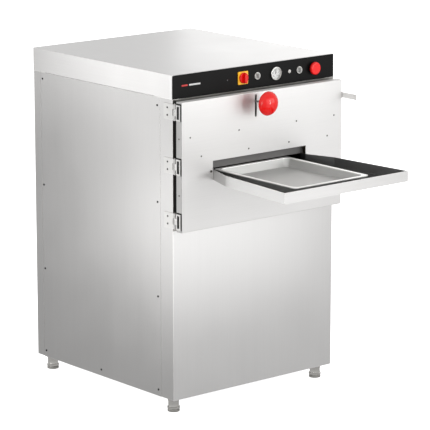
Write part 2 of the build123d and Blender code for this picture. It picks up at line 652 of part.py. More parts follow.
# Plastic contact blocks clipped on behind the isolator, the selectors and the button.
with BuildPart() as contact_blocks:
    for x, near in ((ISOLATOR_X, FASCIA), (SELECTOR_XS[0], FASCIA + 6), (SELECTOR_XS[1], FASCIA + 6),
                    (BUTTON_X, FASCIA + 6)):
        block((x - 15, x + 15), (FRONT + near, FRONT + near + 34), (CONTROL_Z - 20, CONTROL_Z + 20))
    fillet(contact_blocks.edges().filter_by(Axis.Y), 2)
    bar((ISOLATOR_X, FRONT + FASCIA, CONTROL_Z), OUT_FRONT, BARREL_RADIUS, FASCIA)
save(contact_blocks, "contact_blocks")

# ================================================================ hinges and latch
KNUCKLE = 6.5
PIN = 3
MIDDLE_KNUCKLE = 12  # half height of the door's knuckle
KNUCKLE_GAP = 0.5
LEAF = 3
LEAF_X = (-HALF - LEAF, -HALF)
LEAF_BACK = FRONT + 48
LEAF_SCREW = 14  # above and below the middle of the hinge

# Three hinge leaves on the cabinet's left side, each with two knuckles and its pin.
with BuildPart() as hinge_leaves_cabinet:
    for z in HINGE_ZS:
        low, high = z - HINGE_HEIGHT / 2, z + HINGE_HEIGHT / 2
        block(LEAF_X, (FRONT - 2, LEAF_BACK), (low, high))
        for ends in ((low, z - MIDDLE_KNUCKLE - KNUCKLE_GAP), (z + MIDDLE_KNUCKLE + KNUCKLE_GAP, high)):
            bar((HINGE_X, HINGE_Y, ends[0]), UP, KNUCKLE, ends[1] - ends[0])
            block(LEAF_X, (HINGE_Y, FRONT), ends)
        bar((HINGE_X, HINGE_Y, low - 2), UP, PIN, HINGE_HEIGHT + 4)
        for step in (-LEAF_SCREW, LEAF_SCREW):
            spot = (-HALF - LEAF, FRONT + 28, z + step)
            bar(spot, OUT_RIGHT, SCREW_CLEARANCE, LEAF, mode=Mode.SUBTRACT)
save(hinge_leaves_cabinet, "hinge_leaves_cabinet")

# Screws of the cabinet leaves.
with BuildPart() as hinge_screws:
    for z in HINGE_ZS:
        for step in (-LEAF_SCREW, LEAF_SCREW):
            bar((-HALF - LEAF, FRONT + 28, z + step), OUT_LEFT, 3.6, 1.4)
            bar((-HALF - LEAF, FRONT + 28, z + step), OUT_RIGHT, 2.0, LEAF)
save(hinge_screws, "hinge_screws")

DOOR_LEAF_Y = (DOOR_FRONT + 5, DOOR_BACK - 1)

# Three door leaves: one knuckle each, and a bracket with a window on the door's edge.
with BuildPart() as hinge_leaves_door:
    for z in HINGE_ZS:
        low, high = z - HINGE_HEIGHT / 2, z + HINGE_HEIGHT / 2
        middle = (z - MIDDLE_KNUCKLE, z + MIDDLE_KNUCKLE)
        block(LEAF_X, DOOR_LEAF_Y, (low, high))
        block(LEAF_X, (DOOR_FRONT + 11, DOOR_BACK - 6), (low + 5, high - 5), mode=Mode.SUBTRACT)
        block(LEAF_X, (DOOR_BACK - 6, HINGE_Y), middle)
        bar((HINGE_X, HINGE_Y, middle[0]), UP, KNUCKLE, middle[1] - middle[0])
        bar((HINGE_X, HINGE_Y, middle[0]), UP, PIN + 0.06, middle[1] - middle[0], mode=Mode.SUBTRACT)
save(hinge_leaves_door, "hinge_leaves_door")

KEEPER_Y = LATCH_Y + KEEPER_REACH
KEEPER_RADIUS = 3

# Keeper stud on the cabinet's right post: base plate and headless stud.
with BuildPart() as latch_keeper:
    block((HALF, HALF + 0.8), (KEEPER_Y - 7, KEEPER_Y + 14), (LATCH_Z + 6, LATCH_Z + 22))
    block((HALF, HALF + 0.8), (KEEPER_Y - 7, KEEPER_Y + 7), (LATCH_Z - 6, LATCH_Z + 8))
    bar((HALF, KEEPER_Y, LATCH_Z), OUT_RIGHT, KEEPER_RADIUS, 6)
save(latch_keeper, "latch_keeper")

# Latch: a strip pulled forward as a handle, with a hook that swings up round the keeper stud.
LATCH_X = (HALF + 1.3, HALF + 4.3)
HOOK_CLEARANCE = 0.5
HOOK_IN = KEEPER_REACH - KEEPER_RADIUS - HOOK_CLEARANCE
HOOK_OUT = KEEPER_REACH + KEEPER_RADIUS + HOOK_CLEARANCE
HOOK_START = -72
HOOK_END = -22
with BuildPart() as latch_lever:
    with BuildSketch(Plane(origin=(LATCH_X[0], LATCH_Y, LATCH_Z), x_dir=(0, 1, 0), z_dir=OUT_RIGHT)):
        with Locations((-47, 0)):
            RectangleRounded(94, 21, 3)
        Circle(13)
        with BuildLine():
            inner = CenterArc((0, 0), 8, HOOK_START - 12, HOOK_END - HOOK_START + 12)
            outer = CenterArc((0, 0), HOOK_OUT + 5, HOOK_START - 12, HOOK_END - HOOK_START + 12)
            Line(inner @ 0, outer @ 0)
            Line(inner @ 1, outer @ 1)
        make_face()
        with BuildLine():
            slot_in = CenterArc((0, 0), HOOK_IN, HOOK_START, HOOK_END - HOOK_START + 1)
            slot_out = CenterArc((0, 0), HOOK_OUT, HOOK_START, HOOK_END - HOOK_START + 1)
            Line(slot_in @ 0, slot_out @ 0)
            Line(slot_in @ 1, slot_out @ 1)
        make_face(mode=Mode.SUBTRACT)
        Circle(4.05, mode=Mode.SUBTRACT)
    extrude(amount=LATCH_X[1] - LATCH_X[0])
save(latch_lever, "latch_lever")

# Shoulder bolt that the latch turns on, screwed into the door's edge.
with BuildPart() as latch_bolt:
    bar((HALF - 6, LATCH_Y, LATCH_Z), OUT_RIGHT, 4, LATCH_X[1] - HALF + 6.2)
    bar((LATCH_X[1] + 0.2, LATCH_Y, LATCH_Z), OUT_RIGHT, 6.5, 3)
    bar((HALF, LATCH_Y, LATCH_Z), OUT_RIGHT, 6.5, 1)
save(latch_bolt, "latch_bolt")

# ================================================================ door
SLOT_X = (SLOT_CENTRE_X - SLOT_WIDTH / 2, SLOT_CENTRE_X + SLOT_WIDTH / 2)
SLOT_Z = (SLOT_BOTTOM, SLOT_TOP)
LEVER_SLOT_WIDTH = 9
LEVER_SLOT_Z = (1091, 1175)
LEVER_ROD = 4
UPPER_ROW_Z = 1051
LOWER_ROW_Z = 976
DOOR_FACE_SCREWS = [(x, UPPER_ROW_Z) for x in (-352, -120, 162, 352)] + [
    (x, LOWER_ROW_Z) for x in (-300, -73, 125, 318)
]
DOOR_EDGE_SCREW_ZS = (839, 1048)
SHELF_BOLT_XS = (SLOT_X[0] - 9, SLOT_X[1] + 9)
SHELF_BOLT_Z = 914

# Outer door pan: front sheet with four returns, the tray slot and the lever slot.
with BuildPart() as door_skin:
    block((-HALF, HALF), (DOOR_FRONT, DOOR_BACK), (DOOR_BOTTOM, DOOR_TOP))
    fillet(door_skin.faces().sort_by(Axis.Y)[0].edges(), 2)
    block(
        (-HALF + SHEET, HALF - SHEET),
        (DOOR_FRONT + SHEET, DOOR_BACK),
        (DOOR_BOTTOM + SHEET, DOOR_TOP - SHEET),
        mode=Mode.SUBTRACT,
    )
    block(SLOT_X, (DOOR_FRONT, DOOR_FRONT + SHEET), SLOT_Z, mode=Mode.SUBTRACT)
    with BuildSketch(Plane.XZ.offset(-DOOR_FRONT)):
        with Locations((LEVER_X, sum(LEVER_SLOT_Z) / 2)):
            SlotOverall(LEVER_SLOT_Z[1] - LEVER_SLOT_Z[0], LEVER_SLOT_WIDTH, rotation=90)
    extrude(amount=-SHEET, mode=Mode.SUBTRACT)
    for x, z in DOOR_FACE_SCREWS:
        bar((x, DOOR_FRONT, z), OUT_BACK, 2.15, SHEET, mode=Mode.SUBTRACT)
    for x in SHELF_BOLT_XS:
        bar((x, DOOR_FRONT, SHELF_BOLT_Z), OUT_BACK, 2.65, SHEET, mode=Mode.SUBTRACT)
    for side in (-1, 1):
        for z in DOOR_EDGE_SCREW_ZS:
            bar((side * HALF, LATCH_Y, z), (-side, 0, 0), 2.15, SHEET, mode=Mode.SUBTRACT)
    bar((HALF, LATCH_Y, LATCH_Z), OUT_LEFT, 4.1, SHEET, mode=Mode.SUBTRACT)
save(door_skin, "door_skin")

INNER_HALF = HALF - SHEET

# Inner door skin, set inside the returns, with the same tray slot.
with BuildPart() as door_inner_skin:
    block(
        (-INNER_HALF, INNER_HALF),
        (DOOR_BACK - SHEET, DOOR_BACK),
        (DOOR_BOTTOM + SHEET, DOOR_TOP - SHEET),
    )
    block(SLOT_X, (DOOR_BACK - SHEET, DOOR_BACK), SLOT_Z, mode=Mode.SUBTRACT)
save(door_inner_skin, "door_inner_skin")

POCKET_X = (SHUTTER_X[0] - 12, SHUTTER_X[1] + 12)
POCKET_BOTTOM = SLOT_BOTTOM - 8

# Insulation board in the door, cut away where the shutter, the shelf and the bolts are.
with BuildPart() as door_insulation:
    block(
        (-INNER_HALF + 9, INNER_HALF - 9),
        (DOOR_FRONT + SHEET + 4, DOOR_BACK - SHEET),
        (DOOR_BOTTOM + SHEET + 2, DOOR_TOP - SHEET - 2),
    )
    block(POCKET_X, (DOOR_FRONT, DOOR_BACK), (POCKET_BOTTOM, DOOR_TOP), mode=Mode.SUBTRACT)
save(door_insulation, "door_insulation")

SEAL_INSET = 10.5
SEAL_WIDTH = 18
SEAL_GAP = 0.3

# Rubber seal: a ring behind the door that meets the mouth frame.
with BuildPart() as door_gasket:
    with BuildSketch(Plane.XZ.offset(-DOOR_BACK)):
        with Locations((0, (DOOR_BOTTOM + DOOR_TOP) / 2)):
            outer_x = WIDTH - 2 * SEAL_INSET
            outer_z = DOOR_TOP - DOOR_BOTTOM - 2 * SEAL_INSET
            RectangleRounded(outer_x, outer_z, 8)
            Rectangle(outer_x - 2 * SEAL_WIDTH, outer_z - 2 * SEAL_WIDTH, mode=Mode.SUBTRACT)
    extrude(amount=-(DOOR_STANDOFF - SEAL_GAP))
save(door_gasket, "door_gasket")

# The small identical screws of the door: two rows on its face, two on each edge.
with BuildPart() as door_screws:
    for x, z in DOOR_FACE_SCREWS:
        screw((x, DOOR_FRONT, z), OUT_FRONT, head_radius=3.2, head_height=1.4, shank=4.5)
    for side in (-1, 1):
        for z in DOOR_EDGE_SCREW_ZS:
            screw((side * HALF, LATCH_Y, z), (side, 0, 0), head_radius=3.2, head_height=1.4,
                  shank=4.5)
save(door_screws, "door_screws")

GUIDE_Y = (SHUTTER_Y[0] - 4, DOOR_BACK - SHEET)
GUIDE_LIP = 6

# Two channels on the inner skin that guide the shutter's edges.
with BuildPart() as shutter_guides:
    for edge_x, outwards in ((SHUTTER_X[0], -1), (SHUTTER_X[1], 1)):
        channel = sorted((edge_x - outwards * GUIDE_LIP, edge_x + outwards * 6))
        groove = sorted((edge_x - outwards * GUIDE_LIP, edge_x + outwards * 0.5))
        block(channel, GUIDE_Y, (SLOT_BOTTOM + 1, SHUTTER_TOP + SHUTTER_UP + 12))
        block(
            groove,
            (SHUTTER_Y[0] - 0.4, SHUTTER_Y[1] + 0.4),
            (SLOT_BOTTOM + 1, SHUTTER_TOP + SHUTTER_UP + 12),
            mode=Mode.SUBTRACT,
        )
save(shutter_guides, "shutter_guides")

# Shutter: a plate that closes the tray slot, its stem, and the lever rod welded to the stem.
KNOB_BACK = DOOR_FRONT - 62
KNOB_RADIUS = 46.5
KNOB_DEPTH = 34
ROD_END = KNOB_BACK - 18
with BuildPart() as shutter:
    block(SHUTTER_X, SHUTTER_Y, (SHUTTER_BOTTOM, SHUTTER_TOP))
    fillet(shutter.edges().filter_by(Axis.Y).group_by(Axis.Z)[-1], 6)
    block((LEVER_X - 20, LEVER_X + 20), SHUTTER_Y, (SHUTTER_TOP - 4, LEVER_Z + 5))
    bar((LEVER_X, SHUTTER_Y[1], LEVER_Z), OUT_FRONT, LEVER_ROD, SHUTTER_Y[1] - ROD_END)
save(shutter, "shutter")

# Big red knob: a low dome with a flat back, turned from plastic and pushed on the rod.
with BuildPart() as lever_knob:
    with BuildSketch(Plane(origin=(LEVER_X, KNOB_BACK, LEVER_Z), x_dir=(1, 0, 0), z_dir=UP)):
        with BuildLine():
            Line((0, -KNOB_DEPTH), (0, 0))
            Line((0, 0), (KNOB_RADIUS, 0))
            EllipticalCenterArc((0, 0), KNOB_RADIUS, KNOB_DEPTH, start_angle=0, arc_size=-90)
        make_face()
    revolve(axis=Axis((LEVER_X, KNOB_BACK, LEVER_Z), (0, 1, 0)))
    fillet(lever_knob.faces().sort_by(Axis.Y)[-1].edges(), 7)
    bar((LEVER_X, KNOB_BACK, LEVER_Z), OUT_FRONT, LEVER_ROD, KNOB_BACK - ROD_END, mode=Mode.SUBTRACT)
save(lever_knob, "lever_knob")

# ================================================================ loading shelf and tray
def shelf_outline(shrink):
    """Plan of the shelf: straight in the door's slot, flaring to a knee, then to the front."""
    neck = SLOT_WIDTH / 2 - 0.5 - shrink
    knee = SHELF_KNEE_WIDTH / 2 - shrink
    front = SHELF_FRONT_WIDTH / 2 - shrink
    knee_y = DOOR_FRONT - SHELF_KNEE_FORWARD
    front_y = SHELF_FRONT + shrink
    right = [(neck, SHELF_REAR), (neck, DOOR_FRONT - 2), (knee, knee_y), (front, front_y)]
    left = [(-x, y) for x, y in reversed(right)]
    return [(SLOT_CENTRE_X + x, y) for x, y in right + left]


# Folded tray shelf, bolted behind the door's face by two tabs.
with BuildPart() as loading_shelf:
    with BuildSketch(Plane.XY.offset(SHELF_FLOOR)):
        with BuildLine():
            Polyline(*shelf_outline(0), close=True)
        make_face()
    extrude(amount=SHELF_WALL)
    with BuildSketch(Plane.XY.offset(SHELF_FLOOR + SHELF_SHEET)):
        with BuildLine():
            Polyline(*shelf_outline(2), close=True)
        make_face()
        with Locations((SLOT_CENTRE_X, SHELF_REAR)):
            Rectangle(SLOT_WIDTH - 5, 8)
    extrude(amount=SHELF_WALL, mode=Mode.SUBTRACT)
    for bolt_x, side in zip(SHELF_BOLT_XS, (-1, 1)):
        wall = SLOT_CENTRE_X + side * (SLOT_WIDTH / 2 - 1.5)
        block(sorted((wall, bolt_x + side * 9)), (DOOR_FRONT + SHEET, DOOR_FRONT + SHEET + 2),
              (SHELF_BOLT_Z - 26, SHELF_BOLT_Z + 5))
        bar((bolt_x, DOOR_FRONT, SHELF_BOLT_Z), OUT_BACK, 2.65, 6, mode=Mode.SUBTRACT)
save(loading_shelf, "loading_shelf")

# The two bolts of the shelf, with their nuts behind the tabs.
with BuildPart() as shelf_bolts:
    for x in SHELF_BOLT_XS:
        screw((x, DOOR_FRONT, SHELF_BOLT_Z), OUT_FRONT, head_radius=4.4, head_height=2,
              shank_radius=2.5, shank=9)
        with BuildSketch(Plane.XZ.offset(-(DOOR_FRONT + SHEET + 2))):
            with Locations((x, SHELF_BOLT_Z)):
                RegularPolygon(4.6, 6)
        extrude(amount=-4)
save(shelf_bolts, "shelf_bolts")

# Aluminium tray: sloping sides, rounded corners and a turned-out rim.
with BuildPart() as baking_tray:
    tray_middle = (TRAY_CENTRE_X, TRAY_REAR - TRAY_DEPTH / 2)
    rim = 12
    with BuildSketch(Plane.XY.offset(TRAY_BOTTOM)):
        with Locations(tray_middle):
            RectangleRounded(TRAY_WIDTH - 2 * rim - 16, TRAY_DEPTH - 2 * rim - 16, 18)
    with BuildSketch(Plane.XY.offset(TRAY_BOTTOM + TRAY_HEIGHT)):
        with Locations(tray_middle):
            RectangleRounded(TRAY_WIDTH - 2 * rim, TRAY_DEPTH - 2 * rim, 26)
    loft()
    offset(amount=-1.2, openings=baking_tray.faces().sort_by(Axis.Z)[-1])
    with BuildSketch(Plane.XY.offset(TRAY_BOTTOM + TRAY_HEIGHT - 3)):
        with Locations(tray_middle):
            RectangleRounded(TRAY_WIDTH, TRAY_DEPTH, 14)
            RectangleRounded(TRAY_WIDTH - 2 * rim - 3, TRAY_DEPTH - 2 * rim - 3, 25, mode=Mode.SUBTRACT)
    extrude(amount=3)
save(baking_tray, "baking_tray")
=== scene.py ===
import math

import bmesh
import bpy
from mathutils import Matrix, Vector


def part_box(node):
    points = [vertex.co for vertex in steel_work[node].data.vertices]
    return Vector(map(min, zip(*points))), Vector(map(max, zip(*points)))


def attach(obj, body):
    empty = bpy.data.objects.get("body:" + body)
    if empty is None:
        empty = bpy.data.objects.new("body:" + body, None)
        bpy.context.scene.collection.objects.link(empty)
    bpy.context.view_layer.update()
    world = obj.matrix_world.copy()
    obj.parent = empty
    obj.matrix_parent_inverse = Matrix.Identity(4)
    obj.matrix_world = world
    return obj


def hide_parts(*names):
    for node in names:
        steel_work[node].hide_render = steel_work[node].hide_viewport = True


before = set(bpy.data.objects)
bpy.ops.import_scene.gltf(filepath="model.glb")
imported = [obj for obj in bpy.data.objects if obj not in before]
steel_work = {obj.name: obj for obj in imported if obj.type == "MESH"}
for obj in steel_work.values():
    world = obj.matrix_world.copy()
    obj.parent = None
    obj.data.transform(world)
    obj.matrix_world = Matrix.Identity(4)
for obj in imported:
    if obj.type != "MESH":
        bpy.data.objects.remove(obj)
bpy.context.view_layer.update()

# ---------------------------------------------------------------- the studio
# A lit white table under a white sweep, as a maker's catalogue uses: the table glows, so the
# cabinet stands on white with hardly a shadow. Small soft boxes hang close by, so that the flat
# sheets change in tone across their faces, and two tall strips stand further off.


def linear(code):
    """The linear colour of an sRGB hex code."""
    parts = [int(code[i:i + 2], 16) / 255 for i in (1, 3, 5)]
    return tuple(c / 12.92 if c <= 0.04045 else ((c + 0.055) / 1.055) ** 2.4 for c in parts) + (1.0,)


def add(tree, kind, inputs=(), **settings):
    """Adds one node to a tree, with its settings and the links or values of its sockets."""
    made = tree.nodes.new(kind)
    for name, value in settings.items():
        setattr(made, name, value)
    for socket, value in dict(inputs).items():
        if isinstance(value, bpy.types.NodeSocket):
            tree.links.new(value, made.inputs[socket])
        else:
            made.inputs[socket].default_value = value
    return made


def start(name):
    """A new empty material: its tree and its output node."""
    made = bpy.data.materials.new(name)
    made.use_nodes = True
    made.node_tree.nodes.clear()
    return made, made.node_tree, made.node_tree.nodes.new("ShaderNodeOutputMaterial")


scene = bpy.context.scene
scene.view_settings.view_transform = "Standard"

sweep = bpy.data.worlds.new("white_sweep")
sweep.use_nodes = True
sweep.node_tree.nodes.clear()
air = sweep.node_tree
where = add(air, "ShaderNodeTexCoord")
height = add(air, "ShaderNodeSeparateXYZ", {0: where.outputs["Generated"]})
tone = add(air, "ShaderNodeMapRange", {0: height.outputs["Z"], 1: -0.35, 2: 0.30, 3: 0.457, 4: 0.845},
           interpolation_type="SMOOTHSTEP")
glow = add(air, "ShaderNodeBackground", {0: linear("#FFFFFF"), 1: tone.outputs[0]})
out = air.nodes.new("ShaderNodeOutputWorld")
air.links.new(glow.outputs[0], out.inputs[0])
scene.world = sweep

table_mesh = bpy.data.meshes.new("light_table")
table_mesh.from_pydata([(-40, -40, 0), (40, -40, 0), (40, 40, 0), (-40, 40, 0)], [], [(0, 1, 2, 3)])
light_table = bpy.data.objects.new("light_table", table_mesh)
scene.collection.objects.link(light_table)
light_table.location.z = -0.0005
acrylic, tree, out = start("opal_acrylic")
body = add(tree, "ShaderNodeBsdfPrincipled", {
    "Base Color": linear("#F2F2F2"), "Roughness": 0.6,
    "Emission Color": linear("#FFFFFF"), "Emission Strength": 0.95})
tree.links.new(body.outputs[0], out.inputs[0])
table_mesh.materials.append(acrylic)
# the glowing table is kept out of reflections, or the steel would turn white near the floor
light_table.visible_glossy = False


# each soft box: the wall it hangs on (its middle), the way it faces, its width and height in
# metres, its power in watts, and how far it leans
LEFT, FORWARD, BACKWARD = (1, 0, 0), (0, 1, 0), (-1, 0, 0)
for name, middle, faces, size, power, lean in (
        ("left_front_box", (-1.4, 0.45, 0.95), LEFT, (0.9, 0.7), 0.93, -24),
        ("left_top_box", (-1.4, 1.25, 1.85), LEFT, (0.9, 0.8), 0.39, -24),
        ("left_rear_box", (-1.4, 1.25, 1.15), LEFT, (0.9, 0.7), 3.15, -24),
        ("left_low_box", (-1.4, 0.75, 0.35), LEFT, (1.0, 0.5), 3.45, -24),
        ("front_top_box", (0.15, -1.25, 1.40), FORWARD, (0.8, 0.6), 1.97, 0),
        ("front_middle_box", (0.15, -1.25, 0.85), FORWARD, (0.8, 0.5), 0.80, 0),
        ("right_top_box", (0.95, -1.25, 1.40), FORWARD, (0.8, 0.6), 2.81, 0),
        ("right_middle_box", (0.95, -1.25, 0.85), FORWARD, (0.8, 0.5), 0.59, 0),
        ("front_low_box", (0.55, -1.25, 0.35), FORWARD, (1.4, 0.5), 1.69, 0),
        ("back_box", (1.6, 1.70, 1.75), BACKWARD, (1.1, 0.9), 1.98, 0),
        ("right_box", (1.6, 0.70, 1.75), BACKWARD, (0.9, 0.9), 3.38, 0),
        ("left_strip", (-3.9, -2.3, 1.50), (0.86, 0.5, -0.08), (0.32, 2.2), 26, 0),
        ("right_strip", (1.3, -4.5, 1.65), (-0.30, 0.94, -0.11), (0.32, 2.2), 26, 0)):
    lamp = bpy.data.lights.new(name, "AREA")
    lamp.shape = "RECTANGLE"
    lamp.size, lamp.size_y = size
    lamp.energy = power
    box = bpy.data.objects.new(name, lamp)
    scene.collection.objects.link(box)
    box.location = middle
    turned_to = Vector(faces).to_track_quat("-Z", "Y").to_matrix()
    box.rotation_euler = (turned_to @ Matrix.Rotation(math.radians(lean), 3, "Z")).to_euler()

lens = bpy.data.cameras.new("camera")
lens.sensor_width = 36
lens.lens = 2560.7 / 430 * 36
lens.clip_end = 200
camera = bpy.data.objects.new("camera", lens)
scene.collection.objects.link(camera)
target = Vector((0, 0.238, 0.640))
turn, rise, away = math.radians(39.325), math.radians(12.660), 9.9
camera.location = target + away * Vector((
    -math.sin(turn) * math.cos(rise), -math.cos(turn) * math.cos(rise), math.sin(rise)))
yaw, pitch = math.radians(39.970), math.radians(12.681)
look = Vector((math.sin(yaw) * math.cos(pitch), math.cos(yaw) * math.cos(pitch), -math.sin(pitch)))
camera.rotation_euler = look.to_track_quat("-Z", "Y").to_euler()
scene.camera = camera

# ---------------------------------------------------------------- base frame and feet
# A welded ring of cold-drawn stainless tube carries the cabinet. Four turned feet screw into it,
# each a polished sleeve flared at its collar, over an insert that levels the cabinet.


def wear_edges(tree, radius):
    """Where an edge is within a radius in metres: 0 on the flat, towards 1 on the edge."""
    soft = add(tree, "ShaderNodeBevel", {0: radius}, samples=4)
    true = add(tree, "ShaderNodeNewGeometry")
    flat = add(tree, "ShaderNodeVectorMath", {0: soft.outputs[0], 1: true.outputs["Normal"]},
               operation="DOT_PRODUCT")
    return add(tree, "ShaderNodeMapRange", {0: flat.outputs["Value"], 1: 1.0, 2: 0.8, 3: 0.0, 4: 1.0})


def brushed_steel(name, grain, light, dark, rough, waviness=0.35):
    """Grade 304 stainless sheet, belt-brushed to a number 4 finish along one axis.

    The eye sees fine parallel lines, a soft streaked gloss and the slight waves of flat sheet.
    """
    made, tree, out = start(name)
    place = add(tree, "ShaderNodeTexCoord")
    # the belt leaves lines about 0.1 mm apart; they are drawn 1.2 mm apart, to show at all
    fine_scale = [830.0] * 3
    fine_scale["XYZ".index(grain)] = 5.0
    fine_place = add(tree, "ShaderNodeMapping", {0: place.outputs["Object"], 3: fine_scale})
    fine = add(tree, "ShaderNodeTexNoise", {0: fine_place.outputs[0], "Scale": 1.0, "Detail": 2.0})
    # the belt's own passes, about 30 mm apart
    pass_scale = [34.0] * 3
    pass_scale["XYZ".index(grain)] = 0.8
    pass_place = add(tree, "ShaderNodeMapping", {0: place.outputs["Object"], 3: pass_scale})
    passes = add(tree, "ShaderNodeTexNoise", {0: pass_place.outputs[0], "Scale": 1.0, "Detail": 3.0})
    # hand and cloth marks, 100 to 300 mm across
    marks = add(tree, "ShaderNodeTexNoise", {0: place.outputs["Object"], "Scale": 5.0, "Detail": 4.0})
    streaks = add(tree, "ShaderNodeMath", {0: passes.outputs["Fac"], 1: 0.35,
                                           2: fine.outputs["Fac"]}, operation="MULTIPLY_ADD")
    shade = add(tree, "ShaderNodeMapRange", {0: streaks.outputs[0], 1: 0.35, 2: 1.0, 3: 0.0, 4: 1.0})
    colour = add(tree, "ShaderNodeMix", {0: shade.outputs[0], 6: linear(dark), 7: linear(light)},
                 data_type="RGBA")
    # every edge is painted near white: a painted highlight along the edges
    edge = wear_edges(tree, 0.0025)
    rubbed = add(tree, "ShaderNodeMix", {0: edge.outputs[0], 6: colour.outputs[2],
                                         7: linear("#F4F3F1")}, data_type="RGBA")
    gloss = add(tree, "ShaderNodeMath", {0: streaks.outputs[0], 1: 0.06, 2: rough - 0.04},
                operation="MULTIPLY_ADD")
    dull = add(tree, "ShaderNodeMath", {0: marks.outputs["Fac"], 1: 0.10, 2: gloss.outputs[0]},
               operation="MULTIPLY_ADD")
    even = add(tree, "ShaderNodeMath", {0: dull.outputs[0], 1: 0.05}, operation="SUBTRACT")
    # flat sheet bows by a fraction of a millimetre over 400 mm
    wave = add(tree, "ShaderNodeTexNoise", {0: place.outputs["Object"], "Scale": 2.5, "Detail": 1.0})
    bowed = add(tree, "ShaderNodeBump", {"Height": wave.outputs["Fac"], "Strength": waviness,
                                         "Distance": 0.0015})
    lined = add(tree, "ShaderNodeBump", {"Height": fine.outputs["Fac"], "Strength": 0.06,
                                         "Distance": 0.0002, "Normal": bowed.outputs[0]})
    body = add(tree, "ShaderNodeBsdfPrincipled", {
        "Base Color": rubbed.outputs[2], "Metallic": 1.0, "Roughness": even.outputs[0],
        "Normal": lined.outputs[0]})
    tree.links.new(body.outputs[0], out.inputs[0])
    return made


def finish(made, *names):
    """Gives CAD nodes their material."""
    for name in names:
        for place in steel_work[name].material_slots:
            place.material = made


drawn_tube = brushed_steel("drawn_stainless_tube", "Y", "#C9C8C5", "#A9A8A5", 0.38)
finish(drawn_tube, "base_frame")


def plain_metal(name, colour, rough, speckle, depth, metal=1.0):
    """A metal with an even surface: speckle is the grain's size in metres, depth its relief.

    A blasted or oxidised skin is only partly metal: it gives back light evenly.
    """
    made, tree, out = start(name)
    place = add(tree, "ShaderNodeTexCoord")
    grain = add(tree, "ShaderNodeTexNoise", {0: place.outputs["Object"], "Scale": 1 / speckle,
                                             "Detail": 3.0})
    marks = add(tree, "ShaderNodeTexNoise", {0: place.outputs["Object"], "Scale": 14.0,
                                             "Detail": 4.0})
    deep = tuple(c * 0.86 for c in linear(colour)[:3]) + (1.0,)
    shade = add(tree, "ShaderNodeMix", {0: marks.outputs["Fac"], 6: deep, 7: linear(colour)},
                data_type="RGBA")
    # every edge is painted a quarter brighter: a painted highlight along the edges
    edge = wear_edges(tree, 0.0012)
    bright = tuple(min(1.0, c * 1.25) for c in linear(colour)[:3]) + (1.0,)
    rubbed = add(tree, "ShaderNodeMix", {0: edge.outputs[0], 6: shade.outputs[2], 7: bright},
                 data_type="RGBA")
    gloss = add(tree, "ShaderNodeMath", {0: marks.outputs["Fac"], 1: 0.16, 2: rough - 0.08},
                operation="MULTIPLY_ADD")
    relief = add(tree, "ShaderNodeBump", {"Height": grain.outputs["Fac"], "Strength": 0.5,
                                          "Distance": depth})
    body = add(tree, "ShaderNodeBsdfPrincipled", {
        "Base Color": rubbed.outputs[2], "Metallic": metal, "Roughness": gloss.outputs[0],
        "Normal": relief.outputs[0]})
    tree.links.new(body.outputs[0], out.inputs[0])
    return made


# buffed stainless: a near mirror with the haze of a cotton wheel
buffed_steel = plain_metal("buffed_stainless", "#E2E0DC", 0.14, 0.004, 0.00003)
turned_steel = plain_metal("turned_stainless", "#B9B7B3", 0.34, 0.0008, 0.00006)
finish(turned_steel, *["foot_adjuster_" + c for c in
                       ("front_left", "front_right", "rear_left", "rear_right")])


def keep(mesh, name, rides_on, surface):
    """Links a new piece, gives it its finish and lets it ride on a CAD body."""
    made = bpy.data.objects.new(name, mesh)
    scene.collection.objects.link(made)
    mesh.materials.append(surface)
    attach(made, rides_on)
    return made


def turned(name, outline, seats, sides=40, hexagon=0):
    """Turns an outline of (radius, height) on an axis at each seat, a (point, direction) pair.

    The rings from number hexagon on, if it is given, are six-sided.
    """
    shape = bmesh.new()
    for point, direction in seats:
        turn = Vector(direction).to_track_quat("Z", "Y").to_matrix()
        rings = []
        for number, (radius, level) in enumerate(outline):
            ring = []
            for k in range(sides):
                angle = math.tau * k / sides
                reach = radius
                if hexagon and number >= hexagon:
                    reach *= math.cos(math.pi / 6) / math.cos(angle % (math.pi / 3) - math.pi / 6)
                spot = Vector((reach * math.cos(angle), reach * math.sin(angle), level))
                ring.append(shape.verts.new(Vector(point) + turn @ spot))
            rings.append(ring)
        for low, high in zip(rings, rings[1:]):
            for k in range(sides):
                shape.faces.new((low[k], low[(k + 1) % sides], high[(k + 1) % sides], high[k]))
        shape.faces.new(list(reversed(rings[0])))
        shape.faces.new(rings[-1])
    made = bpy.data.meshes.new(name)
    shape.to_mesh(made)
    shape.free()
    made.shade_smooth()
    made.set_sharp_from_angle(angle=math.radians(40))
    return made


foot_low, foot_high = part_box("foot_sleeves")
foot_x = foot_high.x - 0.024
foot_ys = (foot_low.y + 0.024, foot_high.y - 0.024)
foot_line = [(0.0215, 0.0110), (0.0236, 0.0118), (0.0240, 0.0150), (0.0236, 0.0190),
             (0.0208, 0.0205), (0.0204, 0.0225), (0.0204, 0.0360), (0.0210, 0.0415),
             (0.0226, 0.0465), (0.0240, 0.0490), (0.0240, 0.0549), (0.0235, 0.0550)]
sleeves = keep(turned("foot_sleeve_shells", foot_line,
                      [((side * foot_x, y, 0), (0, 0, 1)) for side in (-1, 1) for y in foot_ys]),
               "foot_sleeve_shells", "cabinet", buffed_steel)
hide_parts("foot_sleeves")
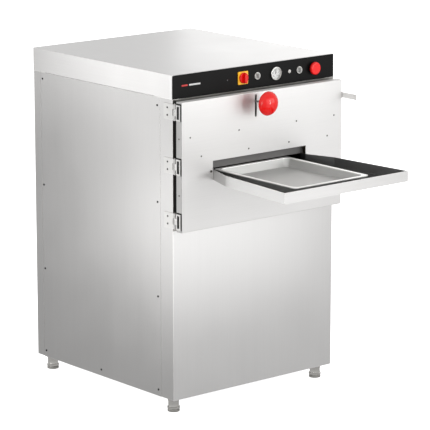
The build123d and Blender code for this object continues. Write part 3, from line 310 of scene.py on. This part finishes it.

# ---------------------------------------------------------------- sheet body
# Folded corner posts, flat sides, a back and a lower front, all of 1.5 mm stainless sheet
# brushed upright, under a one-piece cap brushed from front to back.
# The sides, posts and back are drawn darker than the lower front, and the cap between them, though all are
# the same sheet: painted shade and painted light for how the lamps fall on each face.
upright_sheet = brushed_steel("brushed_stainless_upright", "Z", "#C7C6C5", "#C2C1C0", 0.36)
finish(upright_sheet, "side_panel_left", "side_panel_right", "front_posts", "rear_posts",
       "rear_panel")
front_sheet = brushed_steel("brushed_stainless_front", "Z", "#E9E8E7", "#E5E4E3", 0.36)
finish(front_sheet, "lower_front_panel")
cap_sheet = brushed_steel("brushed_stainless_cap", "Y", "#DAD9D8", "#D4D3D2", 0.34)
finish(cap_sheet, "top_cover")
finish(cap_sheet, "floor_pan", "technical_shelf")

# Black screws hold the panels: oxide-blacked steel, which looks like dark oiled iron.
black_oxide = plain_metal("black_oxide_steel", "#2B2A2A", 0.42, 0.0006, 0.00008)
finish(black_oxide, "gauge_needle")
socket_head = [(0.0040, 0.0), (0.0040, 0.0005), (0.0036, 0.0013), (0.0028, 0.0019), (0.0019, 0.0022),
               (0.0014, 0.0021), (0.0013, 0.0008), (0.0004, 0.0007)]
side_seats = [((side * 0.3925, y, z), (side, 0, 0)) for side in (-1, 1) for y, z in (
    (-0.072, 0.080), (-0.072, 0.438), (-0.072, 0.796), (-0.072, 1.156), (0.632, 0.080),
    (0.632, 0.412), (0.632, 0.746), (0.632, 1.162), (0.278, 0.080))]
back_seats = [((side * 0.3705, 0.6875, z), (0, 1, 0)) for side in (-1, 1)
              for z in (0.090, 0.620, 1.160)]
panel_heads = keep(turned("panel_screw_heads", socket_head, side_seats + back_seats, 24, 5),
                   "panel_screw_heads", "cabinet", black_oxide)
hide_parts("panel_screws")

# ---------------------------------------------------------------- fascia and controls
# The fascia is sheet steel in black powder coat: a dense black with a fine leathery skin that
# gives back a broad dim light.


def coated(name, colour, rough, skin, depth, lift=1.5):
    """A paint, coat or moulded plastic: skin is the size of its texture in metres."""
    made, tree, out = start(name)
    place = add(tree, "ShaderNodeTexCoord")
    pores = add(tree, "ShaderNodeTexNoise", {0: place.outputs["Object"], "Scale": 1 / skin,
                                             "Detail": 2.0})
    marks = add(tree, "ShaderNodeTexNoise", {0: place.outputs["Object"], "Scale": 9.0,
                                             "Detail": 4.0})
    pale = tuple(min(1.0, c * lift + 0.002) for c in linear(colour)[:3]) + (1.0,)
    shade = add(tree, "ShaderNodeMix", {0: marks.outputs["Fac"], 6: linear(colour), 7: pale},
                data_type="RGBA")
    gloss = add(tree, "ShaderNodeMath", {0: marks.outputs["Fac"], 1: 0.12, 2: rough - 0.06},
                operation="MULTIPLY_ADD")
    relief = add(tree, "ShaderNodeBump", {"Height": pores.outputs["Fac"], "Strength": 0.4,
                                          "Distance": depth})
    body = add(tree, "ShaderNodeBsdfPrincipled", {
        "Base Color": shade.outputs[2], "Roughness": gloss.outputs[0], "IOR": 1.5,
        "Normal": relief.outputs[0]})
    tree.links.new(body.outputs[0], out.inputs[0])
    return made


powder_coat = coated("black_powder_coat", "#060606", 0.42, 0.0012, 0.00006)
tree = powder_coat.node_tree
body = [n for n in tree.nodes if n.type == "BSDF_PRINCIPLED"][0]
body.inputs["Specular IOR Level"].default_value = 0.12
finish(powder_coat, "control_fascia")

# moulded red ABS: a smooth gloss that mirrors the lamps
red_abs = coated("glossy_red_abs", "#C90B08", 0.11, 0.012, 0.00004, 1.12)
finish(red_abs, "lever_knob", "push_button", "isolator_knob")
yellow_abs = coated("yellow_abs", "#E3A90F", 0.38, 0.001, 0.00003, 1.15)
finish(yellow_abs, "isolator_plate")
black_nylon = coated("black_glass_nylon", "#141414", 0.5, 0.0008, 0.00006)
finish(black_nylon, "contact_blocks", "cable_gland", "button_bezel")
finish(buffed_steel, "selector_bezels", "signal_lamp")
grey_nylon = coated("grey_nylon", "#8C8C8A", 0.42, 0.0008, 0.00004, 1.1)
finish(grey_nylon, "selector_knob_left", "selector_knob_right")
finish(buffed_steel, "dial_gauge")


def slab(name, loops, near, far, across=(1, 0, 0), up=(0, 0, 1), deep=(0, 1, 0)):
    """A flat piece cut to closed outlines of (across, up) points, from a near to a far depth."""
    shape = bmesh.new()
    for loop in loops:
        ends = [[shape.verts.new(Vector(across) * a + Vector(up) * b + Vector(deep) * depth)
                 for a, b in loop] for depth in (near, far)]
        shape.faces.new(ends[0])
        shape.faces.new(list(reversed(ends[1])))
        for k in range(len(loop)):
            n = (k + 1) % len(loop)
            shape.faces.new((ends[0][n], ends[0][k], ends[1][k], ends[1][n]))
    bmesh.ops.recalc_face_normals(shape, faces=shape.faces)
    made = bpy.data.meshes.new(name)
    shape.to_mesh(made)
    shape.free()
    return made


def ring_of(centre, radius, count=48, begin=0.0, sweep=360.0):
    """Points round part of a circle, in degrees from straight up, clockwise."""
    steps = [math.radians(begin + sweep * k / count) for k in range(count)]
    return [(centre[0] + radius * math.sin(t), centre[1] + radius * math.cos(t)) for t in steps]


dial = (0.099, 1.232)
# the face is a printed aluminium disc behind the needle
printed_disc = plain_metal("printed_aluminium", "#C4C4C2", 0.5, 0.0005, 0.00002)
keep(slab("dial_face", [ring_of(dial, 0.0216)], -0.16440, -0.16402), "dial_face", "cabinet",
     printed_disc)
ink = coated("black_ink", "#1A1A1A", 0.6, 0.0005, 0.00001)
marks = []
for k in range(26 + 1):
    angle = math.radians(-130 + 10 * k)
    inner, half = (0.0172, 0.0004) if k % 5 == 0 or k == 26 else (0.0188, 0.0002)
    out_way, side_way = (math.sin(angle), math.cos(angle)), (math.cos(angle), -math.sin(angle))
    marks.append([(dial[0] + out_way[0] * r + side_way[0] * h, dial[1] + out_way[1] * r + side_way[1] * h)
                  for r, h in ((inner, -half), (0.0206, -half), (0.0206, half), (inner, half))])
keep(slab("dial_marks", marks, -0.16450, -0.16438), "dial_marks", "cabinet", ink)
for k in range(6):
    angle = math.radians(-130 + 52 * k)
    figure = bpy.data.curves.new("dial_figure", "FONT")
    figure.body = str(20 * k)
    figure.size = 0.0052
    figure.align_x, figure.align_y = "CENTER", "CENTER"
    figure.extrude = 0.00004
    number = bpy.data.objects.new(f"dial_figure_{20 * k}", figure)
    scene.collection.objects.link(number)
    number.location = (dial[0] + 0.0138 * math.sin(angle), -0.16446, dial[1] + 0.0138 * math.cos(angle))
    number.rotation_euler = (math.pi / 2, 0, 0)
    figure.materials.append(ink)
    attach(number, "cabinet")

# A plain two-tone printed dash marks the fascia, and a small dark lamp sits to its right.
red_ink = coated("red_ink", "#B3201C", 0.5, 0.0006, 0.00001, 1.1)
pale_ink = coated("pale_grey_ink", "#B9B9B9", 0.5, 0.0006, 0.00001, 1.1)
for name, ink_used, low, high in (("mark_red", red_ink, -0.351, -0.322),
                                  ("mark_grey", pale_ink, -0.316, -0.262)):
    ends = ring_of((high - 0.003, 1.234), 0.003, 12, 0, 180) + ring_of((low + 0.003, 1.234), 0.003, 12,
                                                                    180, 180)
    keep(slab(name, [ends], -0.16212, -0.16200), name, "cabinet", ink_used)
lamp_line = [(0.0030, 0.0), (0.0030, 0.0006), (0.0026, 0.0010), (0.0020, 0.0016), (0.0009, 0.0021),
             (0.0002, 0.0022)]
smoked = coated("smoked_lens", "#3B3B3D", 0.2, 0.002, 0.00001)
keep(turned("status_lamp", lamp_line, [((-0.134, -0.162, 1.231), (0, -1, 0))], 24), "status_lamp",
     "cabinet", smoked)

# clear float glass, 1.6 mm thick
glass, tree, out = start("float_glass")
place = add(tree, "ShaderNodeTexCoord")
haze = add(tree, "ShaderNodeTexNoise", {0: place.outputs["Object"], "Scale": 60.0})
clean = add(tree, "ShaderNodeMath", {0: haze.outputs["Fac"], 1: 0.05}, operation="MULTIPLY")
body = add(tree, "ShaderNodeBsdfPrincipled", {
    "Base Color": linear("#FFFFFF"), "Roughness": clean.outputs[0], "IOR": 1.5,
    "Transmission Weight": 1.0})
tree.links.new(body.outputs[0], out.inputs[0])
finish(glass, "gauge_glass")

# ---------------------------------------------------------------- hinges and latch
# Pressed stainless leaves on steel pins, tumbled to an even satin, each door leaf backed by thin
# black sheets as painted shadow round the leaf; and a stainless hook that grips a stud.
satin_steel = plain_metal("tumbled_stainless", "#D2D1CF", 0.40, 0.0010, 0.00005)
finish(satin_steel, "hinge_leaves_cabinet", "hinge_leaves_door", "latch_keeper", "latch_bolt")
cast_stainless = plain_metal("blasted_stainless", "#F0EFED", 0.45, 0.0008, 0.00005, 0.5)
finish(cast_stainless, "latch_lever")
zinc = plain_metal("zinc_plated_steel", "#5E5C59", 0.40, 0.0006, 0.00005)
finish(zinc, "shelf_bolts")
small_head = [(r * 0.9, h * 0.62) for r, h in socket_head]
small_seats = [((-0.3955, -0.134, z + step), (-1, 0, 0)) for z in (0.740, 0.943, 1.143)
               for step in (-0.014, 0.014)]
leaf_heads = keep(turned("hinge_screw_heads", small_head, small_seats, 24, 5), "hinge_screw_heads",
                  "cabinet", black_oxide)
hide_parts("hinge_screws")
fine_head = [(r * 0.8, h * 0.6) for r, h in socket_head]
door_seats = [((x, -0.212, 1.051), (0, -1, 0)) for x in (-0.352, -0.120, 0.162, 0.352)]
door_seats += [((x, -0.212, 0.976), (0, -1, 0)) for x in (-0.300, -0.073, 0.125, 0.318)]
door_seats += [((side * 0.3925, -0.197, z), (side, 0, 0)) for side in (-1, 1) for z in (0.839, 1.048)]
door_heads = keep(turned("door_screw_heads", fine_head, door_seats, 24, 5), "door_screw_heads",
                  "door", zinc)
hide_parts("door_screws")
epdm = coated("epdm_rubber", "#0A0A0A", 0.75, 0.0015, 0.0001)
# thin black sheets behind each door leaf: painted shadow, for the dark round the leaf
packing = []
for z in (0.740, 0.943, 1.143):
    packing.append([(-0.2008, z - 0.0238), (-0.1882, z - 0.0238), (-0.1882, z + 0.0238),
                    (-0.2008, z + 0.0238)])
    packing.append([(-0.2117, z - 0.0300), (-0.2073, z - 0.0300), (-0.2073, z + 0.0293),
                    (-0.1830, z + 0.0293), (-0.1830, z + 0.0345), (-0.2117, z + 0.0345)])
keep(slab("hinge_shadow_sheets", packing, -0.3936, -0.3924, (0, 1, 0), (0, 0, 1), (1, 0, 0)),
     "hinge_shadow_sheets", "door", epdm)

# ---------------------------------------------------------------- door
# The door is a folded pan of the same sheet, brushed from side to side, with a mill-finish
# inner skin, a board of mineral wool between them and a black rubber seal behind.
# The door face is drawn lighter than the sides, though it is the same sheet: painted light.
door_sheet = brushed_steel("brushed_stainless_door", "X", "#E4E3E2", "#DEDDDC", 0.50)
# The side returns are painted a tone darker than the brushed face: painted shade. The side
# returns are drawn a tone darker than the brushed face, as rolled sheet: a guess.
# They are picked by world direction, which is right at rest; an open door shows them elsewhere.
tree = door_sheet.node_tree
body = [n for n in tree.nodes if n.type == "BSDF_PRINCIPLED"][0]
way = add(tree, "ShaderNodeSeparateXYZ",
          {0: add(tree, "ShaderNodeNewGeometry").outputs["True Normal"]})
sideways = add(tree, "ShaderNodeMath", {0: way.outputs["X"]}, operation="ABSOLUTE")
returned = add(tree, "ShaderNodeMath", {0: sideways.outputs[0], 1: 0.7}, operation="GREATER_THAN")
rolled = add(tree, "ShaderNodeMix", {0: returned.outputs[0],
                                     6: body.inputs["Base Color"].links[0].from_socket,
                                     7: linear("#B4B3B2")}, data_type="RGBA")
# the top and bottom returns are painted pale and made nearly matt, so they don't mirror the dark fascia:
# painted light; the top and bottom returns are drawn pale and nearly matt, as pickled sheet: a guess
upward = add(tree, "ShaderNodeMath", {0: way.outputs["Z"]}, operation="ABSOLUTE")
capped = add(tree, "ShaderNodeMath", {0: upward.outputs[0], 1: 0.7}, operation="GREATER_THAN")
pickled = add(tree, "ShaderNodeMix", {0: capped.outputs[0], 6: rolled.outputs[2],
                                      7: linear("#D8D7D5")}, data_type="RGBA")
tree.links.new(pickled.outputs[2], body.inputs["Base Color"])
skin = add(tree, "ShaderNodeMapRange", {0: capped.outputs[0], 3: 1.0, 4: 0.25})
tree.links.new(skin.outputs[0], body.inputs["Metallic"])
finish(door_sheet, "door_skin")
mill_sheet = plain_metal("mill_finish_stainless", "#A7A5A1", 0.30, 0.003, 0.00006)
finish(mill_sheet, "door_inner_skin", "mouth_frame", "shutter_guides")
# the shutter is painted darker and partly matt: painted shade, for the shadow inside the door
# slot; the shutter is drawn as a darker, partly matt sheet: a guess
pickled_sheet = plain_metal("painted_shade_shutter_steel", "#6F6E6D", 0.55, 0.003, 0.00006, 0.3)
finish(pickled_sheet, "shutter")
finish(epdm, "door_gasket")
wool = coated("mineral_wool", "#8A7F5A", 0.95, 0.004, 0.0012, 1.4)
finish(wool, "door_insulation", "chamber_insulation")

# ---------------------------------------------------------------- shelf and tray
# The shelf is folded from the same sheet, with its inside painted darker as painted shade for the
# shadow inside it. The shelf is folded from the same sheet, with an inside that is drawn as a
# darker finish, which is a guess. The tray is pressed aluminium sheet, etched to a pale satin.
shelf_sheet = brushed_steel("brushed_stainless_shelf", "X", "#D8D7D6", "#D2D1D0", 0.38)
tree = shelf_sheet.node_tree
body = [n for n in tree.nodes if n.type == "BSDF_PRINCIPLED"][0]
# The inside is picked by world place and direction, which is right at rest only.
shape = add(tree, "ShaderNodeNewGeometry")
middle = add(tree, "ShaderNodeVectorMath", {0: (-0.018, -0.42, 0.8825), 1: shape.outputs["Position"]},
             operation="SUBTRACT")
facing = add(tree, "ShaderNodeVectorMath", {0: middle.outputs[0], 1: shape.outputs["True Normal"]},
             operation="DOT_PRODUCT")
inward = add(tree, "ShaderNodeMath", {0: facing.outputs["Value"], 1: -0.0005},
             operation="GREATER_THAN")
level = add(tree, "ShaderNodeSeparateXYZ", {0: shape.outputs["Position"]})
above = add(tree, "ShaderNodeMath", {0: level.outputs["Z"], 1: 0.8815}, operation="GREATER_THAN")
below = add(tree, "ShaderNodeMath", {0: level.outputs["Z"], 1: 0.9197}, operation="LESS_THAN")
held = add(tree, "ShaderNodeMath", {0: above.outputs[0], 1: below.outputs[0]}, operation="MULTIPLY")
inside = add(tree, "ShaderNodeMath", {0: inward.outputs[0], 1: held.outputs[0]},
             operation="MULTIPLY")
worn = add(tree, "ShaderNodeMix", {0: inside.outputs[0], 6: body.inputs["Base Color"].links[0].from_socket,
                                   7: linear("#4C4C4C")}, data_type="RGBA")
# its inner side walls are painted a lighter shade than its floor; both are painted
# shade; its inner side walls are drawn paler than its floor; both tones are guesses
across = add(tree, "ShaderNodeSeparateXYZ", {0: shape.outputs["True Normal"]})
sideways = add(tree, "ShaderNodeMath", {0: across.outputs["X"]}, operation="ABSOLUTE")
bent = add(tree, "ShaderNodeMath", {0: sideways.outputs[0], 1: 0.7}, operation="GREATER_THAN")
wall = add(tree, "ShaderNodeMath", {0: inside.outputs[0], 1: bent.outputs[0]}, operation="MULTIPLY")
rubbed = add(tree, "ShaderNodeMix", {0: wall.outputs[0], 6: worn.outputs[2],
                                     7: linear("#A2A2A2")}, data_type="RGBA")
tree.links.new(rubbed.outputs[2], body.inputs["Base Color"])
finish(shelf_sheet, "loading_shelf")
etched_aluminium = plain_metal("etched_aluminium", "#C6C6C4", 0.52, 0.0012, 0.00004, 0.8)
# the rim is painted brighter: a painted highlight along it
tree = etched_aluminium.node_tree
body = [n for n in tree.nodes if n.type == "BSDF_PRINCIPLED"][0]
level = add(tree, "ShaderNodeSeparateXYZ", {0: add(tree, "ShaderNodeNewGeometry").outputs["Position"]})
rim = add(tree, "ShaderNodeMath", {0: level.outputs["Z"], 1: 0.9135}, operation="GREATER_THAN")
slid = add(tree, "ShaderNodeMix", {0: rim.outputs[0], 6: body.inputs["Base Color"].links[0].from_socket,
                                   7: linear("#F6F6F4")}, data_type="RGBA")
tree.links.new(slid.outputs[2], body.inputs["Base Color"])
finish(etched_aluminium, "baking_tray", "fan_rotor")

# ---------------------------------------------------------------- inside
# The chamber is lined in mill-finish sheet; rack, baffle and water pan are the same. The fan,
# the heaters, the probe and the electrics' box are bought in.
finish(mill_sheet, "chamber_liner", "tray_rack", "fan_baffle", "water_pan")
incoloy = plain_metal("oxidised_incoloy", "#4B463F", 0.5, 0.002, 0.00008)
finish(incoloy, "heater_element", "humidifier_heater")
finish(turned_steel, "temperature_probe", "control_box")
hammer_paint = coated("grey_hammer_paint", "#5E6468", 0.4, 0.004, 0.0003, 1.2)
finish(hammer_paint, "fan_motor")
